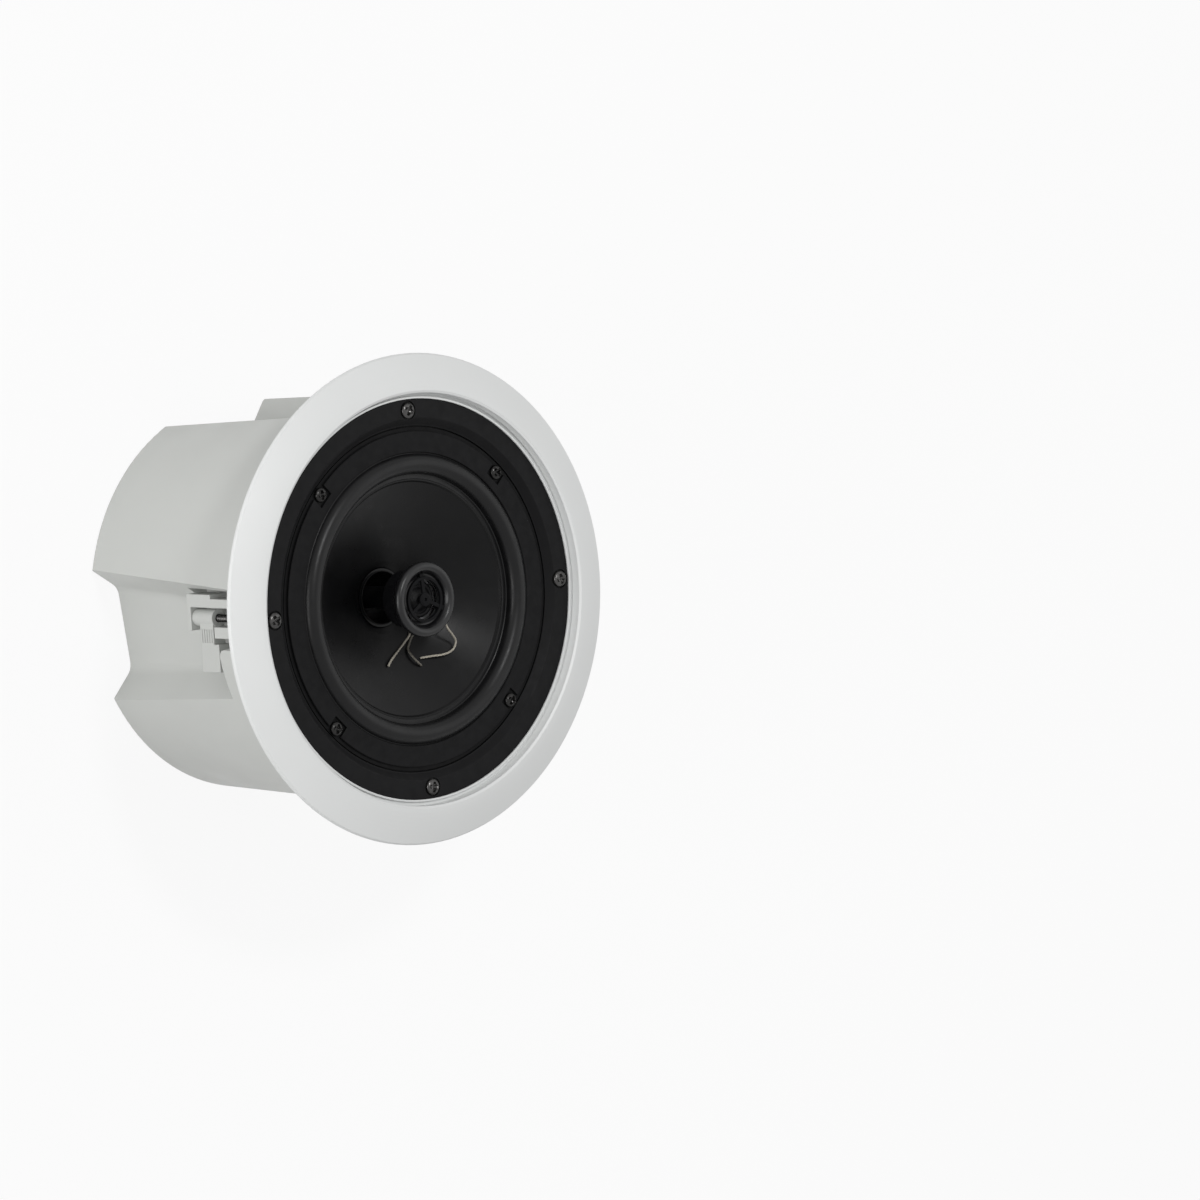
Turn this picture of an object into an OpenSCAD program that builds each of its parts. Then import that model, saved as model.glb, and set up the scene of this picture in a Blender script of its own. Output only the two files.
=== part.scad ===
// Recessed ceiling loudspeaker: white flange and moulded back can, two-way coaxial driver,
// grille taken off. Millimetres, +Z along the speaker axis towards the listener,
// origin at the centre of the can's closed end, which it stands on.

/* [Flange and can] */
// Diameter of the flange that covers the edge of the ceiling hole
flange_d = 240; // [238:1:244]
// Height of the flange's back face above the can's closed end
ceiling_z = 132.5; // [130:0.5:138]
// Height of the lip's top above the flange's back face
lip_h = 8.3; // [8.3:0.1:9]
// Diameter inside the lip, where the grille drops in
lip_d = 201.4; // [201:0.1:201.8]
// Diameter of the can under the flange
can_top_d = 202; // [201.6:0.1:202.4]
// Diameter of the can at its closed end
can_end_d = 196; // [194:0.5:198]
// Thickness of the can's wall
can_wall = 2.5; // [2.2:0.1:2.6]
// Depth of the recess in the closed end
end_recess = 5; // [4:0.5:6]

/* [Flutes and clamps] */
// Distance of a flute's flat floor from the speaker axis, at the can's closed end
flute_floor = 78; // [77:0.5:79]
// Half of the width of a flute's floor at the closed end, between its sharp corners
flute_half_w = 20.6; // [20:0.2:21]
// Widening of a flute's side for each millimetre outwards
flute_slope = 0.86; // [0.8:0.02:0.9]
// Radius of the corners at a flute's floor
flute_fillet = 8; // [7:0.5:9]
// Draft of a flute's two sides, which close in towards the flange
side_draft = 3.4; // [3:0.1:3.6]
// Draft of a flute's floor, which comes outwards towards the flange
floor_draft = 2; // [1.5:0.1:2.2]
// Angle from a clamp screw to the middle of its flute
flute_turn = 7; // [6.5:0.5:7.5]
// Depth of a flute's shoulder below the ceiling face
shoulder_depth = 33; // [32:0.5:34]
// Distance of a clamp screw from the speaker axis
clamp_r = 92.3; // [92:0.1:92.6]
// Reach of a clamp arm from its screw
clamp_reach = 26; // [24:0.5:26.5]

/* [Woofer] */
// Diameter of the driver frame's rim
frame_d = 168; // [167:0.5:168.5]
// Diameter of the circle of the driver's screws
driver_screw_pcd = 160.2; // [159.6:0.1:160.6]
// Outer diameter of the half-roll surround
roll_d = 141.7; // [141.2:0.1:142]
// Diameter of the cone where the surround starts
cone_d = 122.9; // [122.4:0.1:123.4]
// Depth of the cone's neck below the ceiling face
neck_depth = 27; // [26:0.5:28]
// Inner diameter of the voice coil's former
coil_d = 25.8; // [25.7:0.1:25.9]
// Diameter of the ferrite magnet
magnet_d = 86; // [80:1:90]
// Thickness of the ferrite magnet
magnet_h = 16; // [14:1:18]

/* [Tweeter] */
// Diameter of the tweeter's rounded bezel
bezel_d = 37.2; // [36:0.2:38]
// Diameter of the tweeter's housing
cup_d = 28; // [27.8:0.1:28.4]
// Diameter of the post that carries the tweeter
post_d = 11; // [10:0.5:12]

/* [Hidden] */
$fn = 96;

// Colours
white_abs = [0.87, 0.87, 0.85];
black_abs = [0.10, 0.10, 0.10];
paper_black = [0.07, 0.07, 0.07];
rubber_black = [0.12, 0.12, 0.12];
steel = [0.62, 0.62, 0.64];
dark_steel = [0.16, 0.16, 0.17];
ferrite = [0.20, 0.20, 0.21];
copper = [0.72, 0.42, 0.25];
braid_tan = [0.66, 0.60, 0.50];

// Clearances
cut = 1;
fit_gap = 0.05;
screw_gap = 0.3;

// Flange
flange_r = flange_d / 2;
lip_r = lip_d / 2;
rim_h = 2.8;
rim_round = 1.4;
lip_top_w = 1.2;
groove_w = 1.8;
groove_z = 2.2;
groove_wall_top = 3.4;
seat_groove = 0.5;
seat_r = lip_r - groove_w - 1;
spigot_r = can_top_d / 2 - can_wall - 0.4;
spigot_wall = 1.7;
shelf_top = -3.2;
shelf_bottom = -5.5;
shelf_r = 74;
face_steps = 8;

// Can
can_top_r = can_top_d / 2;
can_end_r = can_end_d / 2;
edge_round = 1.6;
recess_r = 72;
floor_z = end_recess + can_wall;
foot_floor_z = 3;
corner_round = 4.5;
corner_steps = 6;
shoulder_v = 2.2;
pocket_v = 25.6;
pocket_u = 80;
pocket_z = ceiling_z - 60;
flute_out = 112;
shoulder_z = ceiling_z - shoulder_depth;
land_turn = 53;
can_boss_r = 92.5;
can_boss_h = 34;
floor_boss_h = 5.5;
floor_boss_z = floor_z + floor_boss_h;
grommet_pos = [0, 52];
grommet_r = 6;

// Clamps
clamp_shaft_r = 2;
clamp_head_r = 4;
clamp_head_h = 2.4;
rail_left = [-9.7, -5.4];
rail_right = [3.9, 9.3];
rail_in = clamp_r - 5.8;
rail_out = clamp_r + 4.7;
foot_top = -54.8;
foot_bottom = -57.5;
rail_right_end = -37.7;
hub_r = 4.3;
hub_top = -39.5;
hub_bottom = foot_top + 0.2;
arm_w = 7;
arm_top = -40;
arm_bottom = -50;
tooth_top = -36.5;
tooth_start = 12.5;

// Baffle
baffle_top = 2.84;
ledge_top = -1.5;
frame_r = frame_d / 2;
baffle_in = frame_r + 0.6;
slope_r = 88.2;
slope_foot = 0.1;
counterbore = 0.8;
driver_screw_r = driver_screw_pcd / 2;

// Driver frame
sheet_t = 1.2;
rim_top = ledge_top + sheet_t;
basket_r = 69.5;
basket_ledge_z = -15.8;
landing_z = -42.8;
motor_z = -54;
gasket_top = 0.8;
gasket_r = frame_r - 2;
plate_h = 5;
yoke_h = 5;
magnet_z = motor_z - plate_h - magnet_h;
yoke_z = magnet_z - yoke_h;
pole_top = motor_z + 0.5;
plate_r = 40;
pole_r = coil_d / 2 - 0.6;
gap_r = coil_d / 2 + 1.7;

// Moving system
roll_out = roll_d / 2;
roll_in = cone_d / 2;
roll_out_z = -0.1;
roll_in_z = -2.7;
roll_sheet = 0.7;
roll_mid = [(roll_out + roll_in) / 2, (roll_out_z + roll_in_z) / 2];
roll_half = norm([roll_out - roll_in, roll_out_z - roll_in_z]) / 2;
roll_tilt = atan2(roll_out_z - roll_in_z, roll_out - roll_in);
glue_r = roll_in - 4.4;
neck_r = coil_d / 2 + 1.5;
cone_rise = neck_depth - 3.9;
cone_t = 0.9;
cone_steps = 12;
former_t = 0.4;
former_r = coil_d / 2 + former_t;
coil_out = former_r + 0.65;

// Tweeter
bezel_r = bezel_d / 2;
bezel_round = 2.5;
bezel_mid_z = 5.7;
dish_r = 13.2;
cup_r = cup_d / 2;
cup_wall = 1.3;
cup_bottom = -10;
cup_top = 2.5;
post_r = post_d / 2;
shank_r = 4;
guard_r = 10.5;
guard_top = 6.6;
dome_r = 6.4;
dome_sphere = 8.6;
dome_base_z = 1;

// Routes of the leads, in the driver's own plane with heights from the ceiling face
coil_lead_d = 1.3;
coil_route_1 = [
    [7.3, -13.2, -26.2], [7.2, -14.6, -24.2], [6.7, -16.2, -22.6], [5.2, -18.2, -20.8],
    [2.4, -20.8, -18.9], [-1.2, -23.8, -17.0], [-4.8, -27.0, -15.3], [-7.8, -29.8, -14.2],
    [-9.4, -31.6, -14.3], [-10.0, -32.5, -15.4]
];
coil_route_2 = [
    [8.4, -12.6, -26.2], [8.8, -14.2, -24.4], [9.3, -16.4, -22.6], [9.6, -19.6, -20.6],
    [9.9, -23.6, -18.6], [10.3, -27.6, -16.7], [10.8, -31.2, -15.0], [11.3, -33.6, -14.2],
    [11.5, -34.7, -14.6]
];
tweeter_lead_d = 1.4;
tweeter_route = [
    [12.1, -7.3, -3.4], [14.4, -8.7, -3.6], [17.4, -10.6, -4.2], [20.8, -13.2, -4.6],
    [24.4, -16.4, -5.0], [27.6, -20.2, -5.8], [30.2, -24.2, -7.0], [31.0, -28.2, -8.2],
    [29.4, -31.2, -9.2], [26.2, -32.6, -10.6], [22.4, -32.6, -12.2], [18.6, -31.6, -13.8],
    [15.2, -30.8, -15.2], [12.4, -30.4, -16.6]
];
tinsel_d = 1.6;
tinsel_route = [
    [0, -34.0, -16.6], [0, -37.5, -19.4], [0, -43.0, -24.0], [0, -49.0, -27.6],
    [0, -55.0, -29.0], [0, -61.0, -27.8], [0, -65.0, -26.6], [0, -67.5, -26.6]
];
tinsel_x = 5.5;

// Steps of a list from 0 to 1
function steps(n) = [for (i = [0 : n]) i / n];

// Height of the flange's front face at a share of the way from its rim to its lip
function face_z(s) = rim_h + (lip_h - rim_h) * (1 - pow(1 - s, 1.3));

// Height of the cone's front surface at a radius
function cone_z(r) =
    -neck_depth + cone_rise * pow(max(0, r - neck_r) / (glue_r - neck_r), 0.9);

// Height of the spider's corrugation at a radius
function spider_z(r) = landing_z + 0.4 + 1.6 * sin((r - 15) * 360 / 4.6) * min(1, (38 - r) / 2);

// A flat ring standing on height z
module ring(r_in, r_out, z, h) {
    rotate_extrude() translate([r_in, z]) square([r_out - r_in, h]);
}

// Repeats what is drawn for one clamp at each of the four stations
module stations() {
    for (k = [0 : 3]) rotate(90 * k) children();
}

// Moves a piece to the height of the ceiling face
module at_ceiling() {
    translate([0, 0, ceiling_z]) children();
}

// Cross slot in the head of a screw
module cross_slot(size, depth) {
    for (turn = [0, 90]) rotate(turn) translate([-size / 2, -0.45, -depth]) cube([size, 0.9, depth + cut]);
}

// Pan head screw, its head standing on height 0
module pan_screw(head_r, head_h, shaft_r, length) {
    difference() {
        union() {
            translate([0, 0, -length]) cylinder(r = shaft_r, h = length + head_h / 2);
            rotate_extrude() polygon([
                [0, 0], [head_r, 0], [head_r, head_h * 0.35],
                for (a = [15 : 15 : 75]) [head_r * cos(a), head_h * (0.35 + 0.65 * sin(a))],
                [0, head_h]
            ]);
        }
        translate([0, 0, head_h]) cross_slot(head_r * 1.25, head_h * 0.55);
    }
}

// Tube of eight sides swept along a route
module lead(route, d) {
    n = len(route);
    sides = 8;
    function way(i) = let (v = route[min(i + 1, n - 1)] - route[max(i - 1, 0)]) v / norm(v);
    function across(i) = let (w = cross(way(i), [0.3, 0.2, 1])) w / norm(w);
    function ring_at(i) = let (a = across(i), b = cross(way(i), a))
        [for (k = [0 : sides - 1]) route[i] + (a * cos(360 * k / sides) + b * sin(360 * k / sides)) * d / 2];
    polyhedron(
        points = [for (i = [0 : n - 1]) each ring_at(i)],
        faces = concat(
            [[for (k = [0 : sides - 1]) k]],
            [for (i = [0 : n - 2], k = [0 : sides - 1]) [
                i * sides + k, (i + 1) * sides + k, (i + 1) * sides + (k + 1) % sides
            ]],
            [for (i = [0 : n - 2], k = [0 : sides - 1]) [
                i * sides + k, (i + 1) * sides + (k + 1) % sides, i * sides + (k + 1) % sides
            ]],
            [[for (k = [0 : sides - 1]) n * sides - 1 - k]]
        ),
        convexity = 4
    );
}

// Points of an arc round a centre, from one angle to another
function arc(centre, r, from, to, n) =
    [for (s = steps(n)) let (a = from + s * (to - from)) centre + r * [cos(a), sin(a)]];

// Outline of a flute across the axis, grown outwards from its own faces
module flute_outline(grow) {
    corner = flute_fillet + grow;
    lean = norm([1, flute_slope]);
    mid_u = flute_floor + flute_fillet;
    mid_v = flute_half_w + flute_slope * flute_fillet - flute_fillet * lean;
    side_turn = atan2(1, -flute_slope);
    side_u = mid_u - corner * flute_slope / lean;
    far_v = mid_v + corner / lean + flute_slope * (flute_out - side_u);
    polygon(concat(
        [[flute_out, far_v]],
        arc([mid_u, mid_v], corner, side_turn, 180, corner_steps),
        arc([mid_u, -mid_v], corner, 180, 360 - side_turn, corner_steps),
        [[flute_out, -far_v]]
    ));
}

// The part of a flute above its shoulder that stays flush with the can
module shoulder_block(shrink) {
    v = shoulder_v + shrink;
    z = shoulder_z + shrink;
    r = corner_round - shrink;
    rotate([90, 0, 90]) linear_extrude(flute_out + 2 * cut) polygon(concat(
        arc([v + r, z + r], r, 180, 270, corner_steps),
        [[v + 60, z], [v + 60, z + 60], [v, z + 60]]
    ));
}

// One flute with its floor and both sides drafted about its foot at the closed end
module drafted_flute(grow) {
    translate([flute_floor, 0, 0]) rotate([0, floor_draft, 0]) intersection_for(side = [-1, 1])
        rotate([side * side_draft, 0, 0]) translate([-flute_floor, 0, -20])
            linear_extrude(ceiling_z + 40) flute_outline(grow);
}

// Room beside a clamp's rails, with a side that stands square to the flute's floor
module clamp_pocket(grow) {
    translate([pocket_u - grow, -pocket_v - grow, pocket_z - grow])
        cube([flute_out, pocket_v + shoulder_v + 2 * grow, ceiling_z]);
}

// The four L-shaped hollows in the can's side, grown into the can by its wall
module flutes(grow) {
    stations() rotate(flute_turn) difference() {
        union() {
            drafted_flute(grow);
            clamp_pocket(grow);
        }
        shoulder_block(grow);
    }
}

module back_can() color(white_abs) {
    inner_end_r = can_end_r - can_wall;
    inner_top_r = can_top_r - can_wall;
    difference() {
        union() {
            difference() {
                rotate_extrude() {
                    polygon([
                        [0, 0], [can_end_r - edge_round, 0], [can_end_r - edge_round, edge_round],
                        [can_end_r, edge_round], [can_top_r, ceiling_z],
                        [can_top_r, ceiling_z + seat_groove], [0, ceiling_z + seat_groove]
                    ]);
                    translate([can_end_r - edge_round, edge_round]) circle(edge_round);
                }
                flutes(0);
                difference() {
                    rotate_extrude() polygon([
                        [0, floor_z], [recess_r + 4, floor_z], [recess_r + 6, foot_floor_z],
                        [inner_end_r, foot_floor_z], [inner_top_r, ceiling_z + cut],
                        [0, ceiling_z + cut]
                    ]);
                    flutes(can_wall);
                }
            }
            can_screw_bosses();
            floor_bosses();
        }
        translate([0, 0, -cut]) cylinder(r = recess_r, h = end_recess + cut);
        at_ceiling() translate([0, 0, shelf_bottom]) cylinder(r = inner_top_r + 0.15, h = 10);
        stations() rotate(land_turn) translate([can_boss_r, 0, ceiling_z + shelf_bottom - 20])
            cylinder(r = 1.6, h = 30);
        translate([grommet_pos[0], grommet_pos[1], 0]) cylinder(r = grommet_r, h = 20);
        for (p = concat(board_holes(), bracket_holes()))
            translate([p[0], p[1], floor_z + 1]) cylinder(r = 1.3, h = 20);
    }
}

// Bosses that take the screws from the flange's shelf
module can_screw_bosses() {
    top = ceiling_z + shelf_bottom;
    stations() rotate(land_turn) {
        translate([can_boss_r, 0, top - can_boss_h]) cylinder(r = 4.5, h = can_boss_h);
        translate([can_boss_r, -1.5, top - can_boss_h])
            cube([can_top_r - can_wall - can_boss_r + 0.6, 3, can_boss_h]);
    }
}

function board_holes() = [for (x = [-48, -8], y = [-25, 25]) [x, y]];
function bracket_holes() = [for (y = [-29, 29]) [31, y]];

// Short bosses on the can's floor under the board and the transformer
module floor_bosses() {
    for (p = concat(board_holes(), bracket_holes()))
        translate([p[0], p[1], floor_z - 0.5]) cylinder(r = 3.5, h = floor_boss_h + 0.5);
}

module bezel_flange() color(white_abs) at_ceiling() difference() {
    union() {
        rotate_extrude() {
            face_r = flange_r - 0.6;
            polygon([
                [shelf_r, shelf_bottom], [spigot_r, shelf_bottom], [spigot_r, seat_groove],
                [can_top_r + 0.1, seat_groove], [can_top_r + 0.1, 0],
                [flange_r - rim_round, 0], [flange_r - rim_round, rim_round],
                [flange_r - 0.02, rim_round],
                for (s = steps(face_steps))
                    [face_r - s * (face_r - lip_r - lip_top_w), face_z(s)],
                [lip_r, lip_h - 0.7], [lip_r, groove_z], [lip_r - groove_w, groove_z],
                [lip_r - groove_w, groove_wall_top], [seat_r, groove_wall_top], [seat_r, 0.1],
                [spigot_r - spigot_wall, 0.1], [spigot_r - spigot_wall, shelf_top],
                [shelf_r, shelf_top]
            ]);
            translate([flange_r - rim_round, rim_round]) circle(rim_round);
        }
        stations() clamp_tower();
        stations() rotate(45) translate([driver_screw_r, 0, shelf_bottom - 9.5])
            cylinder(r = 4, h = 10);
    }
    stations() translate([clamp_r, 0, -14]) cylinder(r = clamp_shaft_r + screw_gap, h = 20);
    stations() translate([clamp_r, 0, foot_bottom - cut]) cylinder(r = clamp_shaft_r + 0.08, h = 8);
    stations() rotate(land_turn) translate([can_boss_r, 0, -10]) cylinder(r = 2.2, h = 12);
    stations() rotate(45) translate([driver_screw_r, 0, -14]) cylinder(r = 1.6, h = 20);
}

// Guide rails, top block and foot that hold one clamp screw and its arm
module clamp_tower() {
    rail_deep = rail_out - rail_in;
    start = shelf_bottom + 0.5;
    translate([rail_in, rail_left[0], foot_bottom])
        cube([rail_deep, rail_left[1] - rail_left[0], start - foot_bottom]);
    translate([rail_in, rail_left[0] - 2, foot_bottom])
        cube([rail_deep, 3, hub_top - foot_bottom]);
    translate([rail_in, rail_right[0], rail_right_end])
        cube([rail_deep, rail_right[1] - rail_right[0], start - rail_right_end]);
    translate([rail_in, rail_left[0], foot_bottom])
        cube([rail_deep, 15.7, foot_top - foot_bottom]);
    translate([rail_in, rail_left[0], -13])
        cube([rail_deep - 1.5, rail_right[1] - rail_left[0], start + 13]);
}

module baffle_ring() color(black_abs) at_ceiling() difference() {
    union() {
        rotate_extrude() polygon([
            [shelf_r + 0.5, shelf_top], [87, shelf_top], [87, 0.2], [seat_r - 0.1, 0.2],
            [seat_r - 0.1, baffle_top - 0.3], [seat_r - 0.4, baffle_top],
            [slope_r + 0.4, baffle_top], [slope_r, baffle_top - 0.2], [baffle_in + 0.6, slope_foot],
            [baffle_in, slope_foot - 0.2], [baffle_in, ledge_top], [shelf_r + 0.5, ledge_top]
        ]);
        stations() translate([clamp_r - 0.9, 0, shelf_top]) cylinder(r = 4.6, h = 4);
    }
    stations() translate([clamp_r, 0, -10]) cylinder(r = clamp_shaft_r + screw_gap, h = 20);
    stations() translate([clamp_r, 0, baffle_top - counterbore])
        cylinder(r = clamp_head_r + 0.7, h = 5);
    stations() rotate(45) translate([driver_screw_r, 0, -10]) cylinder(r = 2.2, h = 20);
}

module can_screws() color(steel) at_ceiling() stations() rotate(land_turn)
    translate([can_boss_r, 0, shelf_top]) pan_screw(3.4, 2.2, 1.6, 20);

module cable_grommet() color(rubber_black) translate([grommet_pos[0], grommet_pos[1], 0])
    rotate_extrude() polygon([
        [4, 1.6], [7.5, 1.6], [9, 2.8], [9, end_recess], [grommet_r, end_recess],
        [grommet_r, floor_z], [8.5, floor_z], [8.5, floor_z + 1.6], [7, floor_z + 2.6],
        [4, floor_z + 2.6]
    ]);

module driver_frame() color(dark_steel) at_ceiling() difference() {
    rotate_extrude() polygon([
        [frame_r, rim_top], [basket_r, rim_top], [basket_r, basket_ledge_z],
        [66, basket_ledge_z], [47, landing_z], [38.8, landing_z], [38.8, motor_z + sheet_t],
        [22, motor_z + sheet_t], [22, motor_z], [38.8 + sheet_t, motor_z],
        [38.8 + sheet_t, landing_z - sheet_t], [46.3, landing_z - sheet_t],
        [65.3, basket_ledge_z - sheet_t], [basket_r + sheet_t, basket_ledge_z - sheet_t],
        [basket_r + sheet_t, ledge_top], [frame_r, ledge_top]
    ]);
    for (k = [0 : 5]) rotate(60 * k + 10)
        rotate_extrude(angle = 40) translate([48.5, -43]) square([14.5, 26]);
    stations() rotate(45) translate([driver_screw_r, 0, -10]) cylinder(r = 2.2, h = 20);
}

module driver_gasket() color(rubber_black) at_ceiling() difference() {
    rotate_extrude() polygon([
        [73.2, rim_top], [gasket_r, rim_top], [gasket_r, gasket_top - 0.2],
        [gasket_r - 0.3, gasket_top], [71.9, gasket_top], [71.5, gasket_top - 0.4], [71.5, 0.2],
        [73.2, 0.2]
    ]);
    stations() rotate(45) translate([driver_screw_r - 4.4, -4.6, -5]) cube([12, 9.2, 10]);
}

module driver_screws() color(dark_steel) at_ceiling() stations() rotate(45)
    translate([driver_screw_r, 0, rim_top]) pan_screw(3.6, 2.3, 1.6, 12);

module top_plate() color(steel) at_ceiling() ring(gap_r, plate_r, motor_z - plate_h, plate_h);

module magnet() color(ferrite) at_ceiling() rotate_extrude() polygon([
    [20, magnet_z], [magnet_d / 2 - 1, magnet_z], [magnet_d / 2, magnet_z + 1],
    [magnet_d / 2, magnet_z + magnet_h - 1], [magnet_d / 2 - 1, magnet_z + magnet_h],
    [20, magnet_z + magnet_h]
]);

module pole_yoke() color(steel) at_ceiling() rotate_extrude() polygon([
    [shank_r + fit_gap, yoke_z], [plate_r - 1, yoke_z], [plate_r, yoke_z + 1],
    [plate_r, magnet_z], [pole_r, magnet_z], [pole_r, pole_top - 0.8], [pole_r - 0.8, pole_top],
    [shank_r + fit_gap, pole_top]
]);

module surround() color(rubber_black) at_ceiling() rotate_extrude() {
    difference() {
        translate(roll_mid) circle(roll_half + roll_sheet / 2);
        translate(roll_mid) circle(roll_half - roll_sheet / 2);
        translate(roll_mid) rotate(roll_tilt) translate([-10, -20]) square([20, 20]);
    }
    polygon([
        [roll_out - 0.4, roll_out_z + 0.2], [roll_out - 0.4, rim_top], [73, rim_top],
        [73, roll_out_z + 0.2]
    ]);
    polygon([
        [glue_r + 1.4, roll_in_z - 0.25], [roll_in + 0.3, roll_in_z - 0.25],
        [roll_in + 0.3, roll_in_z + 0.2], [glue_r + 1.8, roll_in_z + 0.2]
    ]);
}

module cone() color(paper_black) at_ceiling() rotate_extrude() {
    lip_z = roll_in_z - 0.25;
    collar_in = former_r + fit_gap;
    polygon([
        [collar_in, -neck_depth + 0.8], [neck_r, -neck_depth + 0.8],
        for (s = steps(cone_steps)) let (r = neck_r + s * (glue_r - neck_r)) [r, cone_z(r)],
        [glue_r + 0.8, lip_z], [roll_in + 0.3, lip_z], [roll_in + 0.3, lip_z - cone_t],
        [glue_r + 1.2, lip_z - cone_t],
        for (s = steps(cone_steps))
            let (r = glue_r - s * (glue_r - neck_r)) [r, cone_z(r) - cone_t],
        [neck_r, -neck_depth - 4], [collar_in, -neck_depth - 4]
    ]);
}

module spider() color([0.62, 0.50, 0.24]) at_ceiling() rotate_extrude() {
    waves = [for (i = [0 : 46]) 15 + i * 0.5];
    sheet = 0.7;
    polygon(concat(
        [[former_r + fit_gap, landing_z + 0.4 + 1.6], [15, landing_z + 0.4 + 1.6]],
        [for (r = waves) [r, spider_z(r) + sheet]],
        [[45.5, landing_z + sheet], [45.5, landing_z], [39, landing_z]],
        [for (i = [0 : 46]) let (r = 38 - i * 0.5) [r, spider_z(r)]],
        [[former_r + fit_gap, landing_z + 0.4]]
    ));
}

module coil_former() color([0.14, 0.14, 0.14]) at_ceiling()
    ring(coil_d / 2, former_r, motor_z - 8, 8 - motor_z - neck_depth + 1.4);

module voice_coil() color(copper) at_ceiling()
    ring(former_r + 0.02, coil_out, motor_z - 7.5, 10);

module coil_lead_1() color(braid_tan) at_ceiling() lead(coil_route_1, coil_lead_d);

module coil_lead_2() color(braid_tan) at_ceiling() lead(coil_route_2, coil_lead_d);

module tinsel_lead_1() color(braid_tan) at_ceiling() translate([-tinsel_x, 0, 0]) lead(tinsel_route, tinsel_d);

module tinsel_lead_2() color(braid_tan) at_ceiling() translate([tinsel_x, 0, 0]) lead(tinsel_route, tinsel_d);

module terminal_strip() color([0.45, 0.32, 0.18]) at_ceiling()
    translate([-11, -69.2, basket_ledge_z - sheet_t - 13]) difference() {
        cube([22, 1.6, 13]);
        for (x = [11 - tinsel_x, 11 + tinsel_x]) translate([x, -cut, 3.4])
            rotate([-90, 0, 0]) cylinder(r = 1, h = 4);
    }

module tweeter_post() color(dark_steel) at_ceiling() {
    rotate_extrude() polygon([
        [0, yoke_z], [shank_r, yoke_z], [shank_r, pole_top], [post_r, pole_top],
        [post_r, cup_bottom - 6], [post_r + 1.2, cup_bottom - 6], [post_r + 1.2, cup_bottom - 3.4],
        [post_r, cup_bottom - 3.4], [post_r, cup_bottom - 2], [9, cup_bottom - 1.2],
        [9, cup_bottom], [0, cup_bottom]
    ]);
}

module tweeter_cup() color(black_abs) at_ceiling() rotate_extrude() polygon([
    [0, cup_bottom], [cup_r - 1, cup_bottom], [cup_r, cup_bottom + 1], [cup_r, cup_top],
    [cup_r - cup_wall, cup_top], [cup_r - cup_wall, cup_bottom + cup_wall], [0, cup_bottom + cup_wall]
]);

module tweeter_yoke() color(steel) at_ceiling() rotate_extrude() polygon([
    [0, cup_bottom + cup_wall], [cup_r - cup_wall - 0.1, cup_bottom + cup_wall],
    [cup_r - cup_wall - 0.1, dome_base_z - 0.2], [dome_r + 1, dome_base_z - 0.2], [dome_r + 1, cup_bottom + cup_wall + 1.6],
    [0, cup_bottom + cup_wall + 1.6]
]);

module tweeter_magnet() color(steel) at_ceiling() ring(0, 5.4, cup_bottom + cup_wall + 1.6, 3.6);

module tweeter_plate() color(steel) at_ceiling() ring(0, 5.7, cup_bottom + cup_wall + 5.2, 2.2);

module tweeter_bezel() color(black_abs) at_ceiling() rotate_extrude() {
    translate([bezel_r - bezel_round, bezel_mid_z]) circle(bezel_round);
    polygon([
        [dome_r + 3.4, cup_top], [bezel_r - 1.2, cup_top], [bezel_r - 0.4, bezel_mid_z - 1.4],
        [bezel_r - 1.4, bezel_mid_z], [dish_r + 0.6, bezel_mid_z + 1], [dish_r, bezel_mid_z],
        [dish_r - 0.6, 4.4], [dome_r + 3.4, 3.7]
    ]);
}

module dome_guard() color(black_abs) at_ceiling() {
    ring(guard_r - 0.7, guard_r + 0.7, guard_top - 1.5, 1.5);
    difference() {
        rotate_extrude() polygon([
            [0, guard_top - 2], [1.6, guard_top - 1.9], [3.4, guard_top - 1.2],
            [3.4, guard_top], [2.2, guard_top + 0.3], [0, guard_top + 0.3]
        ]);
        translate([0, 0, guard_top - 0.5]) cylinder(r = 0.8, h = 3);
    }
    for (k = [0 : 2]) rotate(120 * k + 95) {
        translate([2, -0.9, guard_top - 1.35]) cube([guard_r - 2, 1.8, 1.1]);
        translate([guard_r, -1.2, guard_top - 1.4]) cube([dish_r - guard_r - 0.4, 2.4, 1]);
    }
}

module tweeter_dome() color([0.16, 0.16, 0.18]) at_ceiling() rotate_extrude() {
    rise = dome_sphere - sqrt(pow(dome_sphere, 2) - pow(dome_r, 2));
    intersection() {
        translate([0, dome_base_z + rise - dome_sphere]) difference() {
            circle(dome_sphere);
            circle(dome_sphere - 0.3);
        }
        translate([0, dome_base_z]) square([dome_r, rise + cut]);
    }
    translate([dome_r - 0.5, dome_base_z]) square([0.8, 0.4]);
    difference() {
        translate([dome_r + 1.5, dome_base_z + 0.1]) circle(1.3);
        translate([dome_r + 1.5, dome_base_z + 0.1]) circle(1);
        translate([dome_r, dome_base_z - 3]) square([4, 3.1]);
    }
}

module tweeter_coil() color(copper) at_ceiling() ring(dome_r - 0.3, dome_r + 0.2, -3, 4);

module tweeter_lead() color(braid_tan) at_ceiling() lead(tweeter_route, tweeter_lead_d);

module transformer_core() color(dark_steel) translate([31, 0, floor_boss_z + 1.5])
    rotate([90, 0, 90]) translate([0, 0, -9]) linear_extrude(18) difference() {
        translate([-24, 0]) square([48, 34]);
        for (side = [-1, 1]) translate([side * 12 - 4, 7]) square([8, 20]);
    }

module transformer_winding() color([0.85, 0.72, 0.30]) translate([31, 0, floor_boss_z + 8.8])
    difference() {
        translate([-15.6, -15.6, 0]) cube([31.2, 31.2, 19.4]);
        translate([-9.2, -8.2, -cut]) cube([18.4, 16.4, 22]);
    }

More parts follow.
